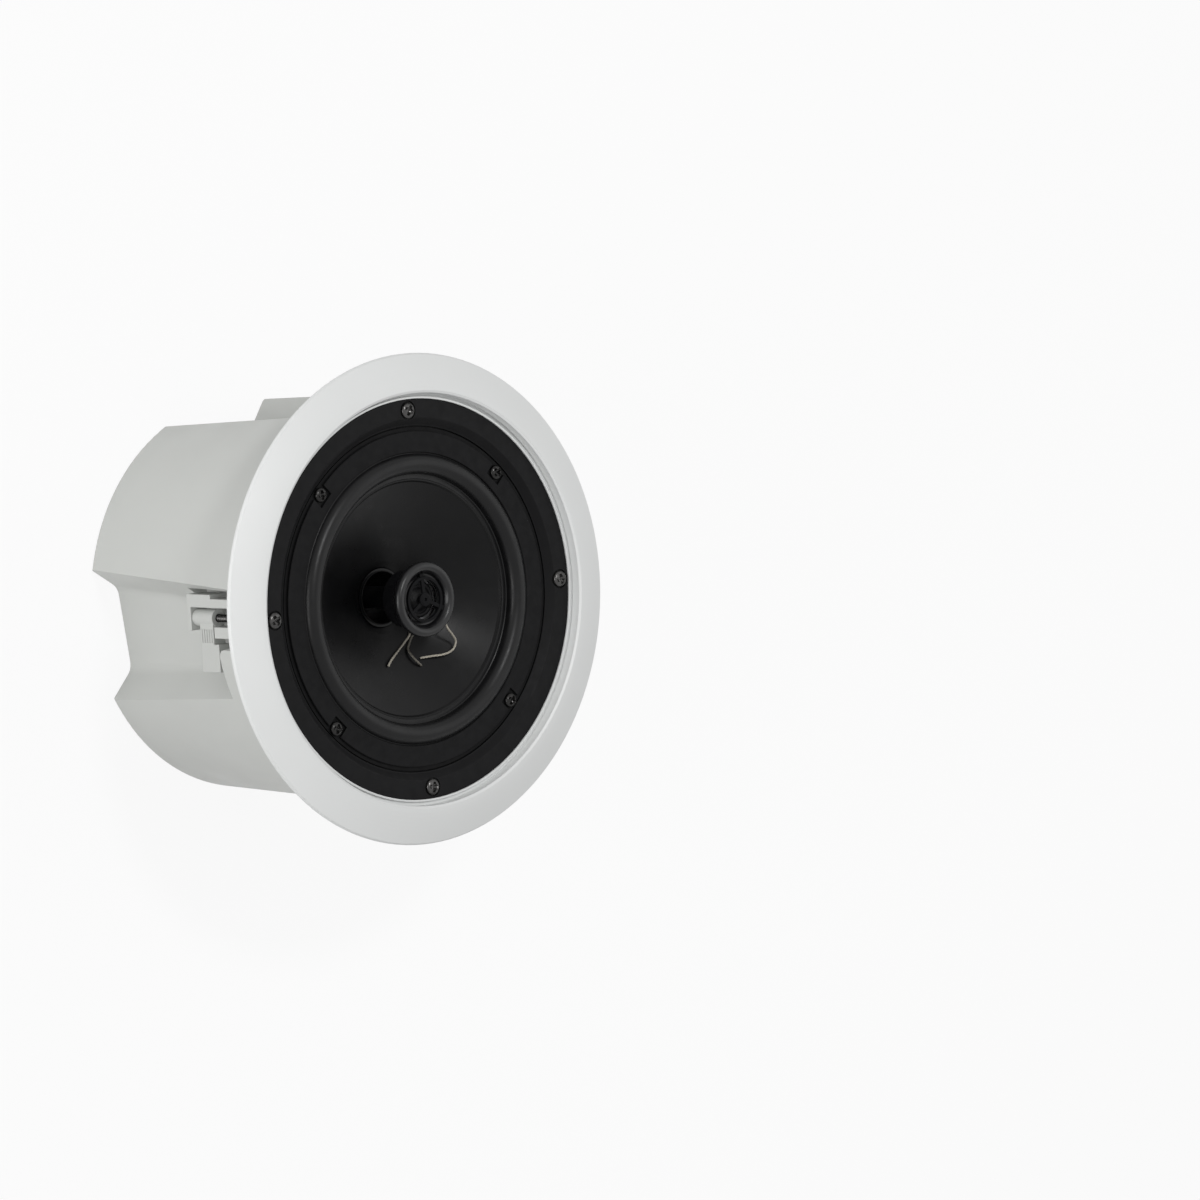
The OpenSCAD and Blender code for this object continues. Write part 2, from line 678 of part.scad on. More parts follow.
module transformer_bracket() color(steel) translate([31, 0, floor_boss_z]) difference() {
    union() {
        translate([-7, -34, 0]) cube([14, 68, 1.5]);
        for (side = [-1, 1]) translate([-7, side * 24.7 - 0.6, 0]) cube([14, 1.2, 20]);
    }
    for (y = [-29, 29]) translate([0, y, -cut]) cylinder(r = 1.9, h = 5);
}

module crossover_board() color([0.30, 0.36, 0.16]) difference() {
    translate([-52, -29, floor_boss_z]) cube([48, 58, 1.6]);
    for (p = board_holes()) translate([p[0], p[1], floor_boss_z - cut]) cylinder(r = 1.8, h = 5);
}

module crossover_capacitor() color([0.12, 0.14, 0.30])
    translate([-15, -14, floor_boss_z + 1.6 + 5]) rotate([-90, 0, 0]) cylinder(r = 5, h = 24);

module crossover_coil() color(copper)
    translate([-37, 8, floor_boss_z + 1.6]) ring(5, 11, 0, 10);

module input_terminal() color([0.90, 0.88, 0.82]) difference() {
    translate([-47, -22, floor_boss_z + 1.6]) cube([20, 12, 10]);
    for (x = [-42, -32]) translate([x, -23, floor_boss_z + 5.6]) rotate([-90, 0, 0])
        cylinder(r = 1.7, h = 14);
}

module inner_screws() color(steel) {
    for (p = board_holes()) translate([p[0], p[1], floor_boss_z + 1.6]) pan_screw(2.8, 1.8, 1.3, 5.5);
    for (p = bracket_holes()) translate([p[0], p[1], floor_boss_z + 1.5]) pan_screw(2.8, 1.8, 1.3, 5.4);
}

module acoustic_foam() color([0.35, 0.35, 0.36]) ring(66, 75.2, floor_z, 60);

module clamp_screw(k) color(dark_steel) at_ceiling() rotate(90 * (k - 1))
    translate([clamp_r, 0, baffle_top - counterbore])
        pan_screw(clamp_head_r, clamp_head_h, clamp_shaft_r, baffle_top - counterbore - foot_bottom);

// Arm that swings out behind the ceiling panel when its screw is driven
module clamp_dog(k) color(white_abs) at_ceiling() rotate(90 * (k - 1)) translate([clamp_r, 0, 0])
    difference() {
        union() {
            translate([0, 0, hub_bottom]) cylinder(r = hub_r, h = hub_top - hub_bottom);
            translate([-arm_w / 2, 0, arm_bottom]) cube([arm_w, clamp_reach, arm_top - arm_bottom]);
            translate([-arm_w / 2, tooth_start, arm_top - cut])
                cube([arm_w, clamp_reach - tooth_start, tooth_top - arm_top + cut]);
        }
        translate([0, 0, hub_bottom - cut]) cylinder(r = clamp_shaft_r + 0.06, h = 20);
        for (z = [-48.4 : 1.8 : -41]) for (side = [-1, 1])
            translate([side * arm_w / 2 - 0.3, hub_r + 1, z - 0.4]) cube([0.6, tooth_start - 6, 0.8]);
    }

back_can();
bezel_flange();
baffle_ring();
can_screws();
cable_grommet();
driver_frame();
driver_gasket();
driver_screws();
top_plate();
magnet();
pole_yoke();
surround();
cone();
spider();
coil_former();
voice_coil();
coil_lead_1();
coil_lead_2();
tinsel_lead_1();
tinsel_lead_2();
terminal_strip();
tweeter_post();
tweeter_cup();
tweeter_yoke();
tweeter_magnet();
tweeter_plate();
tweeter_bezel();
dome_guard();
tweeter_dome();
tweeter_coil();
tweeter_lead();
transformer_core();
transformer_winding();
transformer_bracket();
crossover_board();
crossover_capacitor();
crossover_coil();
input_terminal();
inner_screws();
acoustic_foam();
clamp_screw(1);  // clamp_screw_1
clamp_screw(2);  // clamp_screw_2
clamp_screw(3);  // clamp_screw_3
clamp_screw(4);  // clamp_screw_4
clamp_dog(1);  // clamp_dog_1
clamp_dog(2);  // clamp_dog_2
clamp_dog(3);  // clamp_dog_3
clamp_dog(4);  // clamp_dog_4
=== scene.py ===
"""Looks of a recessed ceiling loudspeaker: white flange and back can, black coaxial driver."""

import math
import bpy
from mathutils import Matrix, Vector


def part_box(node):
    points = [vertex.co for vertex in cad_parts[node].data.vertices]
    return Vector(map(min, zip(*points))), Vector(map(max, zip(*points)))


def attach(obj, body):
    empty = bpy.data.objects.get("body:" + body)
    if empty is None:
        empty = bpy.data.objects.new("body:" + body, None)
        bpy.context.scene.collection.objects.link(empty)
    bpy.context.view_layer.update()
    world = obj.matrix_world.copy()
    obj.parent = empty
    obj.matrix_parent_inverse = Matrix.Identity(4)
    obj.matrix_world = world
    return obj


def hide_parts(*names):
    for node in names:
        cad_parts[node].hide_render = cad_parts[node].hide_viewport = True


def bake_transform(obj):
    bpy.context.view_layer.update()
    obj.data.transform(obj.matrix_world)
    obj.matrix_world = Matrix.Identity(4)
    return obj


bl_info = {
    "name": "Ceiling loudspeaker",
    "version": (1, 0, 0),
    "blender": (4, 5, 0),
    "location": "View3D > Sidebar > Loudspeaker",
    "description": "Dresses a coaxial ceiling loudspeaker and stands it in a plain studio",
    "category": "Object",
}

import bmesh
import bpy
from bpy.props import FloatProperty, FloatVectorProperty, IntProperty, PointerProperty
from bpy.types import Operator, Panel, PropertyGroup
from mathutils import Euler, Matrix, Vector

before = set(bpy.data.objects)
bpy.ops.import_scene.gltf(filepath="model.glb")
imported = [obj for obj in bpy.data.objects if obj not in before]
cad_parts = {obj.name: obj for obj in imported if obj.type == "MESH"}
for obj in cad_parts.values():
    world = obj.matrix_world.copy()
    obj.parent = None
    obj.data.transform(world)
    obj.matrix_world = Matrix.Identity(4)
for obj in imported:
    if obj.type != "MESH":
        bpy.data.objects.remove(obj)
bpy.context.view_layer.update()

MM = 0.001
# Depth that the can's edge stands in the flange, above the face that lies on the ceiling
SEAT_GROOVE = 0.5 * MM
CEILING_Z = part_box("back_can")[1].z - SEAT_GROOVE
CLAMP_COUNT = 4

# Colours of the parts that have no setting
MOTOR_IRON = (0.5, 0.5, 0.51)
FERRITE = (0.03, 0.03, 0.032)
FORMER_BLACK = (0.004, 0.004, 0.004)
COPPER = (0.6, 0.27, 0.12)
STRIP_BROWN = (0.2, 0.1, 0.04)
CLOTH_TAN = (0.42, 0.28, 0.08)
CLOTH_BROWN = (0.3, 0.18, 0.05)
DOME_BLACK = (0.006, 0.006, 0.0065)
CORE_VARNISH = (0.06, 0.055, 0.06)
TAPE_YELLOW = (0.7, 0.5, 0.08)
BRACKET_STEEL = (0.5, 0.5, 0.5)
BOARD_GREEN = (0.03, 0.09, 0.02)
SLEEVE_BLUE = (0.01, 0.015, 0.06)
TERMINAL_IVORY = (0.75, 0.73, 0.65)
LINING_GREY = (0.08, 0.08, 0.085)

# Angles between faces above which an edge is shaded sharp
SECTION_CREASE = math.radians(35)
SCREW_CREASE = math.radians(38)


# Meshes


def piece(name, body, replaced=(), mesh=None, bm=None):
    """Turns a mesh or a bmesh into a piece that rides on a body and stands for some CAD nodes."""
    if bm is not None:
        mesh = bpy.data.meshes.new(name)
        bm.to_mesh(mesh)
        bm.free()
    item = bpy.data.objects.new(name, mesh)
    bpy.context.scene.collection.objects.link(item)
    if body:
        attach(item, body)
    if replaced:
        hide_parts(*replaced)
    return item


def section_normals(outline):
    """Outward normals at each segment's two ends, smooth across corners flatter than the crease."""
    count = len(outline)
    flats = []
    for i in range(count):
        step = outline[(i + 1) % count] - outline[i]
        flats.append(Vector((step.y, -step.x)).normalized())
    joined = []
    for i in range(count):
        before, after = flats[i - 1], flats[i]
        soft = before.angle(after, 0) < SECTION_CREASE
        joined.append((before + after).normalized() if soft else None)
    return [(joined[i] or flats[i], joined[(i + 1) % count] or flats[i]) for i in range(count)]


def lathe(name, outline, segments, start, sweep):
    """Mesh of a closed section in metres turned part of the way round Z, with its neighbours' normals."""
    count = len(outline)
    angles = [start + sweep * column / segments for column in range(segments + 1)]
    verts = [(p.x * math.cos(a), p.x * math.sin(a), p.y) for a in angles for p in outline]
    ends = section_normals(outline)
    faces, normals = [], []
    for column in range(segments):
        here, following = column * count, (column + 1) * count
        a, b = angles[column], angles[column + 1]
        for i in range(count):
            j = (i + 1) % count
            faces.append((here + i, following + i, following + j, here + j))
            for end, angle in ((0, a), (0, b), (1, b), (1, a)):
                n = ends[i][end]
                normals.append((n.x * math.cos(angle), n.x * math.sin(angle), n.y))
    faces.append(tuple(range(count)))
    faces.append(tuple(segments * count + i for i in reversed(range(count))))
    for angle, turn in ((start, -1), (start + sweep, 1)):
        normals += [(-turn * math.sin(angle), turn * math.cos(angle), 0)] * count
    mesh = bpy.data.meshes.new(name)
    mesh.from_pydata(verts, [], faces)
    mesh.polygons.foreach_set("use_smooth", [True] * len(faces))
    mesh.normals_split_custom_set(normals)
    mesh.validate()
    return mesh


def smooth_route(points, per_span=8):
    """Points along a smooth curve through given ones."""
    route = []
    count = len(points)
    for i in range(count - 1):
        p0, p1, p2, p3 = (points[max(0, min(count - 1, i + k))] for k in (-1, 0, 1, 2))
        for step in range(per_span):
            t = step / per_span
            square = 2 * p0 - 5 * p1 + 4 * p2 - p3
            cube = 3 * p1 - 3 * p2 + p3 - p0
            route.append(0.5 * (2 * p1 + (p2 - p0) * t + square * t**2 + cube * t**3))
    route.append(points[-1].copy())
    return route


def carried_frames(route):
    """Two axes across a route at each of its points, carried along without twist."""
    frames = []
    across = (route[1] - route[0]).orthogonal().normalized()
    for i in range(len(route)):
        way = (route[min(i + 1, len(route) - 1)] - route[max(i - 1, 0)]).normalized()
        across = (across - across.dot(way) * way).normalized()
        frames.append((across.copy(), way.cross(across)))
    return frames


def add_tube(bm, route, radius, sides=6, taper=2, tip=0.55):
    """Adds a closed tube along a route to a bmesh, drawn in to a share of its radius at the tips."""
    angles = [math.tau * k / sides for k in range(sides)]
    rings = []
    for i, ((u, v), here) in enumerate(zip(carried_frames(route), route)):
        near_end = min(i, len(route) - 1 - i)
        r = radius * (tip + (1 - tip) * min(1, near_end / taper))
        rings.append([bm.verts.new(here + (u * math.cos(a) + v * math.sin(a)) * r) for a in angles])
    for low, high in zip(rings, rings[1:]):
        for k in range(sides):
            face = bm.faces.new((low[k], low[(k + 1) % sides], high[(k + 1) % sides], high[k]))
            face.smooth = True
    bm.faces.new(reversed(rings[0]))
    bm.faces.new(rings[-1])


def twisted_lead(points, strands, strand_radius, offset, pitch):
    """Bmesh of strands twisted round a smooth route."""
    route = smooth_route(points)
    frames = carried_frames(route)
    bm = bmesh.new()
    for strand in range(strands):
        run, path = 0.0, []
        for i, (here, (u, v)) in enumerate(zip(route, frames)):
            if i:
                run += (here - route[i - 1]).length
            turn = math.tau * (run / pitch + strand / strands)
            path.append(here + (u * math.cos(turn) + v * math.sin(turn)) * offset)
        add_tube(bm, path, strand_radius)
    return bm


def pan_head(radius, height, turned=24):
    """Closed bmesh of a screw's domed head, standing on its underside at height 0."""
    foot, chamfer, side, flatness = radius * 0.985, radius * 0.03, 0.34, 0.85
    profile = [Vector((foot, 0)), Vector((radius, chamfer)), Vector((radius, height * side))]
    for degrees in range(12, 85, 12):
        a = math.radians(degrees)
        rise = side + (1 - side) * math.sin(a)
        profile.append(Vector((radius * math.cos(a) ** flatness, height * rise)))
    bm = bmesh.new()
    angles = [math.tau * k / turned for k in range(turned)]
    rings = []
    for p in profile:
        rings.append([bm.verts.new((p.x * math.cos(a), p.x * math.sin(a), p.y)) for a in angles])
    for low, high in zip(rings, rings[1:]):
        for k in range(turned):
            bm.faces.new((low[k], low[(k + 1) % turned], high[(k + 1) % turned], high[k]))
    bm.faces.new(reversed(rings[0]))
    top = bm.verts.new((0, 0, height))
    for k in range(turned):
        bm.faces.new((rings[-1][k], rings[-1][(k + 1) % turned], top))
    return bm


def cross_recess(size, depth, height):
    """Closed bmesh of the tapered four-winged cavity that a cross-head driver fits."""
    bm = bmesh.new()
    half, wing = size / 2, size * 0.14
    corner = wing * 1.5
    outline = []
    for quarter in range(4):
        turn = Matrix.Rotation(quarter * math.pi / 2, 3, "Z")
        for x, y in ((half, -wing), (half, wing), (corner, corner)):
            outline.append(turn @ Vector((x, y, 0)))
    mouth, waist, floor = height + 0.3 * MM, height - depth * 0.6, height - depth
    loops = []
    for z, share in ((mouth, 1.1), (waist, 0.84), (floor, 0.3)):
        loops.append([bm.verts.new((p.x * share, p.y * share, z)) for p in outline])
    count = len(outline)
    for high, low in zip(loops, loops[1:]):
        for k in range(count):
            bm.faces.new((high[k], low[k], low[(k + 1) % count], high[(k + 1) % count]))
    bm.faces.new(loops[0])
    bm.faces.new(reversed(loops[-1]))
    return bm


def cut_by(bm, cutter):
    """Bmesh of the first solid less the second."""
    items = []
    for name, solid in (("solid", bm), ("cutter", cutter)):
        mesh = bpy.data.meshes.new(name)
        bmesh.ops.recalc_face_normals(solid, faces=solid.faces)
        solid.to_mesh(mesh)
        solid.free()
        items.append(bpy.data.objects.new(name, mesh))
        bpy.context.scene.collection.objects.link(items[-1])
    solid, cutter = items
    cut = solid.modifiers.new("recess", "BOOLEAN")
    cut.operation, cut.solver, cut.object = "DIFFERENCE", "EXACT", cutter
    shaped = solid.evaluated_get(bpy.context.evaluated_depsgraph_get())
    result = bmesh.new()
    result.from_mesh(shaped.to_mesh())
    shaped.to_mesh_clear()
    for item in items:
        mesh = item.data
        bpy.data.objects.remove(item)
        bpy.data.meshes.remove(mesh)
    return result


def add_thread(bm, crest, root, pitch, top, bottom, sides=20, steps=6):
    """Adds a screw's threaded shank as one closed skin, its radius rising and falling on a helix."""
    ridge_half, tip, point_length = 0.3, 0.35, 2.5 * pitch
    count = round((top - bottom) / pitch * steps)
    rings = []
    for i in range(count + 1):
        z = top + (bottom - top) * i / count
        point = min(1.0, (z - bottom) / point_length)
        ring = []
        for k in range(sides):
            phase = (z / pitch - k / sides) % 1.0
            ridge = max(0.0, 1.0 - abs(phase - 0.5) / ridge_half)
            r = (root + (crest - root) * ridge) * (tip + (1 - tip) * point)
            a = math.tau * k / sides
            ring.append(bm.verts.new((r * math.cos(a), r * math.sin(a), z)))
        rings.append(ring)
    for high, low in zip(rings, rings[1:]):
        for k in range(sides):
            bm.faces.new((high[k], low[k], low[(k + 1) % sides], high[(k + 1) % sides]))
    bm.faces.new(rings[0])
    bm.faces.new(reversed(rings[-1]))


def screw_mesh(name, head, height, crest, pitch, length):
    """Mesh of a pan-head screw with a cross recess and a thread, its head standing on height 0."""
    recess_size, recess_depth = head * 1.35, height * 0.85
    root, overlap = crest * 0.76, 0.1 * MM
    bm = cut_by(pan_head(head, height), cross_recess(recess_size, recess_depth, height))
    add_thread(bm, crest, root, pitch, overlap, -length)
    bmesh.ops.recalc_face_normals(bm, faces=bm.faces)
    for face in bm.faces:
        face.smooth = True
    for edge in bm.edges:
        if len(edge.link_faces) == 2 and edge.calc_face_angle() > SCREW_CREASE:
            edge.smooth = False
    mesh = bpy.data.meshes.new(name)
    bm.to_mesh(mesh)
    bm.free()
    return mesh


# Finishes

# Places of a colour mixer's sockets
MIX_FROM, MIX_TO, MIX_RESULT = 6, 7, 2


def times(colour, factor):
    return [c * factor for c in colour]


class Finish:
    """A procedural material on one Principled shader, with every texture laid in real metres."""

    def __init__(self, name, colour, roughness, metallic=0.0, specular=0.5):
        self.material = bpy.data.materials.new(name)
        self.material.use_nodes = True
        self.tree = self.material.node_tree
        self.shader = next(n for n in self.tree.nodes if n.type == "BSDF_PRINCIPLED")
        self.place = self.add("ShaderNodeTexCoord").outputs["Object"]
        self.colour = (*colour[:3], 1.0)
        self.set("Base Color", self.colour)
        self.set("Roughness", roughness)
        self.set("Metallic", metallic)
        self.set("Specular IOR Level", specular)
        self.normal = None

    def add(self, kind, **settings):
        node = self.tree.nodes.new(kind)
        for key, value in settings.items():
            if key in node.inputs:
                node.inputs[key].default_value = value
            else:
                setattr(node, key, value)
        return node

    def link(self, source, target):
        self.tree.links.new(source, target)
        return self

    def set(self, name, value):
        self.shader.inputs[name].default_value = value

    def noise(self, scale, detail=3.0):
        node = self.add("ShaderNodeTexNoise", Scale=scale, Detail=detail)
        self.link(self.place, node.inputs["Vector"])
        return node.outputs["Fac"]

    def ranged(self, value, low, high, source=(0.3, 0.7)):
        """Turns a value's range, by default the one that most noise stays in, into another."""
        node = self.add("ShaderNodeMapRange")
        node.inputs["From Min"].default_value, node.inputs["From Max"].default_value = source
        node.inputs["To Min"].default_value, node.inputs["To Max"].default_value = low, high
        self.link(value, node.inputs["Value"])
        return node.outputs["Result"]

    def mottle(self, other, scale, amount):
        """Drifts the colour towards another one in soft patches."""
        mix = self.add("ShaderNodeMix", data_type="RGBA")
        mix.inputs[MIX_FROM].default_value = self.colour
        mix.inputs[MIX_TO].default_value = (*other[:3], 1.0)
        self.link(self.ranged(self.noise(scale), 0.0, amount), mix.inputs["Factor"])
        self.mixed = mix.outputs[MIX_RESULT]
        return self.link(self.mixed, self.shader.inputs["Base Color"])

    def uneven_gloss(self, low, high, scale):
        return self.link(self.ranged(self.noise(scale), low, high), self.shader.inputs["Roughness"])

    def soft_edges(self, radius):
        """Rounds sharp edges in the shading, as moulding and stamping leave them."""
        node = self.add("ShaderNodeBevel", samples=4)
        node.inputs["Radius"].default_value = radius
        self.normal = node.outputs["Normal"]
        return self.link(self.normal, self.shader.inputs["Normal"])

    def relief(self, height, depth, strength=1.0):
        bump = self.add("ShaderNodeBump", Strength=strength, Distance=depth)
        self.link(height, bump.inputs["Height"])
        if self.normal:
            self.link(self.normal, bump.inputs["Normal"])
        self.normal = bump.outputs["Normal"]
        return self.link(self.normal, self.shader.inputs["Normal"])

    def grain(self, scale, depth, strength):
        return self.relief(self.noise(scale, detail=2.0), depth, strength)

    def sine_of(self, value, per_metre):
        turn = self.add("ShaderNodeMath", operation="MULTIPLY")
        turn.inputs[1].default_value = math.tau * per_metre
        self.link(value, turn.inputs[0])
        sine = self.add("ShaderNodeMath", operation="SINE")
        self.link(turn.outputs[0], sine.inputs[0])
        return sine.outputs[0]

    def parts_of_place(self):
        node = self.add("ShaderNodeSeparateXYZ")
        self.link(self.place, node.inputs[0])
        return node.outputs

    def change_below(self, height, colour):
        """Gives everything under a height another colour."""
        fade = 0.5 * MM
        share = self.ranged(self.parts_of_place()[2], 1.0, 0.0, (height - fade, height + fade))
        mix = self.add("ShaderNodeMix", data_type="RGBA")
        self.link(share, mix.inputs["Factor"]).link(self.mixed, mix.inputs[MIX_FROM])
        mix.inputs[MIX_TO].default_value = (*colour[:3], 1.0)
        return self.link(mix.outputs[MIX_RESULT], self.shader.inputs["Base Color"])

    def distance_from_axis(self):
        flat = self.add("ShaderNodeVectorMath", operation="MULTIPLY")
        flat.inputs[1].default_value = (1, 1, 0)
        self.link(self.place, flat.inputs[0])
        length = self.add("ShaderNodeVectorMath", operation="LENGTH")
        self.link(flat.outputs["Vector"], length.inputs[0])
        return length.outputs["Value"]

    def turned_rings(self, per_metre, depth):
        return self.relief(self.sine_of(self.distance_from_axis(), per_metre), depth)

    def weave(self, per_metre, depth):
        x, y, _ = self.parts_of_place()
        product = self.add("ShaderNodeMath", operation="MULTIPLY")
        self.link(self.sine_of(x, per_metre), product.inputs[0])
        self.link(self.sine_of(y, per_metre), product.inputs[1])
        return self.relief(product.outputs[0], depth)


def shade(item, finish):
    """Gives a piece or a CAD object one finish in all its material slots."""
    if not item.material_slots:
        item.data.materials.append(finish.material)
    for slot in item.material_slots:
        slot.material = finish.material


def shade_nodes(finish, *nodes):
    for node in nodes:
        shade(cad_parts[node], finish)


def moulded_white(name, colour):
    finish = Finish(name, colour, roughness=0.45, specular=0.4)
    finish.mottle(times(colour, 0.95), scale=14.0, amount=0.6).uneven_gloss(0.4, 0.52, scale=45.0)
    finish.soft_edges(0.5 * MM).grain(scale=2600.0, depth=0.03 * MM, strength=0.35)
    return finish.grain(scale=60.0, depth=0.15 * MM, strength=0.1)


def moulded_black(name, colour, gloss=0.5, specular=0.1):
    finish = Finish(name, colour, gloss, specular=specular)
    finish.mottle(times(colour, 1.8), scale=120.0, amount=0.5)
    finish.uneven_gloss(gloss - 0.06, gloss + 0.08, scale=260.0)
    return finish.soft_edges(0.35 * MM).grain(scale=3200.0, depth=0.03 * MM, strength=0.4)


def coated_steel(name, colour):
    finish = Finish(name, colour, roughness=0.5, specular=0.07)
    finish.mottle(times(colour, 1.5), scale=90.0, amount=0.5).uneven_gloss(0.42, 0.6, scale=300.0)
    return finish.soft_edges(0.3 * MM).grain(scale=1500.0, depth=0.04 * MM, strength=0.5)


def plated_steel(name, colour, roughness=0.32):
    finish = Finish(name, colour, roughness, metallic=1.0)
    finish.mottle(times(colour, 0.7), scale=900.0, amount=0.7)
    finish.uneven_gloss(roughness - 0.08, roughness + 0.12, scale=1200.0)
    return finish.soft_edges(0.12 * MM).grain(scale=4000.0, depth=0.01 * MM, strength=0.5)


def black_zinc(name, colour):
    finish = Finish(name, colour, roughness=0.28, metallic=0.9)
    finish.mottle(times(colour, 1.8), scale=700.0, amount=0.7).uneven_gloss(0.2, 0.38, scale=1100.0)
    return finish.soft_edges(0.12 * MM).grain(scale=4000.0, depth=0.01 * MM, strength=0.5)


def tinned_braid(name, colour):
    finish = Finish(name, colour, roughness=0.4, metallic=0.45)
    finish.mottle(times(colour, 0.6), scale=1200.0, amount=0.7).uneven_gloss(0.3, 0.5, scale=1500.0)
    return finish.grain(scale=5000.0, depth=0.02 * MM, strength=0.6)


def black_rubber(name, colour):
    finish = Finish(name, colour, roughness=0.36, specular=0.2)
    finish.mottle(times(colour, 1.6), scale=60.0, amount=0.6).uneven_gloss(0.3, 0.42, scale=150.0)
    return finish.grain(scale=1800.0, depth=0.02 * MM, strength=0.4)


def pressed_cone(name, colour):
    finish = Finish(name, colour, roughness=0.32, specular=0.14)
    finish.mottle(times(colour, 1.9), scale=75.0, amount=0.6).uneven_gloss(0.27, 0.34, scale=160.0)
    finish.grain(scale=1300.0, depth=0.03 * MM, strength=0.4)
    return finish.grain(scale=260.0, depth=0.1 * MM, strength=0.1)


def wound_wire(name, colour, per_metre):
    finish = Finish(name, colour, roughness=0.3, metallic=0.9)
    finish.mottle(times(colour, 0.6), scale=400.0, amount=0.6)
    return finish.relief(finish.sine_of(finish.parts_of_place()[2], per_metre), depth=0.12 * MM)


def plain_part(name, colour, roughness, grain=900.0):
    finish = Finish(name, colour, roughness)
    finish.mottle(times(colour, 0.8), scale=80.0, amount=0.6)
    finish.uneven_gloss(roughness - 0.07, roughness + 0.1, scale=200.0)
    return finish.soft_edges(0.25 * MM).grain(grain, depth=0.03 * MM, strength=0.5)


# Settings


def sizing(name, description, default, low, high):
    return FloatProperty(
        name=name, description=description, default=default * MM, min=low * MM, max=high * MM,
        unit="LENGTH", subtype="DISTANCE", precision=4,
    )


def tint(name, description, default):
    return FloatVectorProperty(
        name=name, description=description, default=default, min=0.0, max=1.0,
        size=3, subtype="COLOR",
    )


def wattage(name, description, default):
    return FloatProperty(name=name, description=description, default=default, min=0, max=200)


class LoudspeakerColours(PropertyGroup):
    flange_white: tint("Flange white", "Colour of the flange's plastic", (0.71, 0.72, 0.715))
    can_white: tint("Can white", "Colour of the back can's plastic", (0.525, 0.535, 0.515))
    ring_black: tint("Ring black", "Colour of the ring round the driver", (0.0035, 0.0035, 0.0038))
    frame_black: tint("Frame black", "Colour of the frame's coating", (0.003, 0.003, 0.0032))
    rubber_black: tint("Rubber black", "Colour of surround and gasket", (0.004, 0.004, 0.0043))
    cone_black: tint("Cone black", "Colour of the cone", (0.0022, 0.0022, 0.0024))
    tweeter_black: tint("Tweeter black", "Colour of the tweeter", (0.004, 0.004, 0.0045))
    screw_steel: tint("Screw steel", "Colour of the plated inner screws", (0.42, 0.42, 0.43))
    screw_black: tint("Screw black", "Colour of the black plated screws", (0.05, 0.049, 0.048))
    braid: tint("Braid", "Colour of the tinned lead wires", (0.42, 0.39, 0.33))


class LoudspeakerSizes(PropertyGroup):
    roll_outer: sizing("Roll outer", "Radius where the roll meets the frame", 70.85, 70.0, 71.2)
    roll_inner: sizing("Roll inner", "Radius where the roll meets the cone", 61.45, 61.0, 62.0)
    roll_sheet: sizing("Roll thickness", "Thickness of the half-roll's rubber", 0.7, 0.5, 0.9)
    strand: sizing("Strand", "Radius of one strand of a lead wire", 0.3, 0.2, 0.35)
    sectors: IntProperty(
        name="Sectors", description="Sectors that share the bending of the surround and the spider",
        default=24, min=12, max=36,
    )


class LoudspeakerStudio(PropertyGroup):
    camera_place: FloatVectorProperty(
        name="Camera place", description="Where the camera stands",
        default=(-1.9036, 0.2733, 2.3385), size=3, subtype="TRANSLATION", unit="LENGTH",
    )
    camera_turn: FloatVectorProperty(
        name="Camera turn", description="How the camera is turned",
        default=(math.radians(-2.150), math.radians(-42.787), math.radians(-4.912)),
        size=3, subtype="EULER", unit="ROTATION",
    )
    focal_length: FloatProperty(
        name="Focal length", description="Focal length in millimetres on a 36 mm sensor",
        default=180.0, min=50.0, max=300.0,
    )
    key_power: wattage("Key", "Power of the large soft lamp", 20.0)
    top_power: wattage("Top", "Power of the small lamp above", 16.0)
    side_power: wattage("Side", "Power of the lamp on the right", 1.6)
    sky: FloatProperty(
        name="Sky", description="Strength of the even light from all sides",
        default=0.44, min=0, max=1,
    )


# Operators


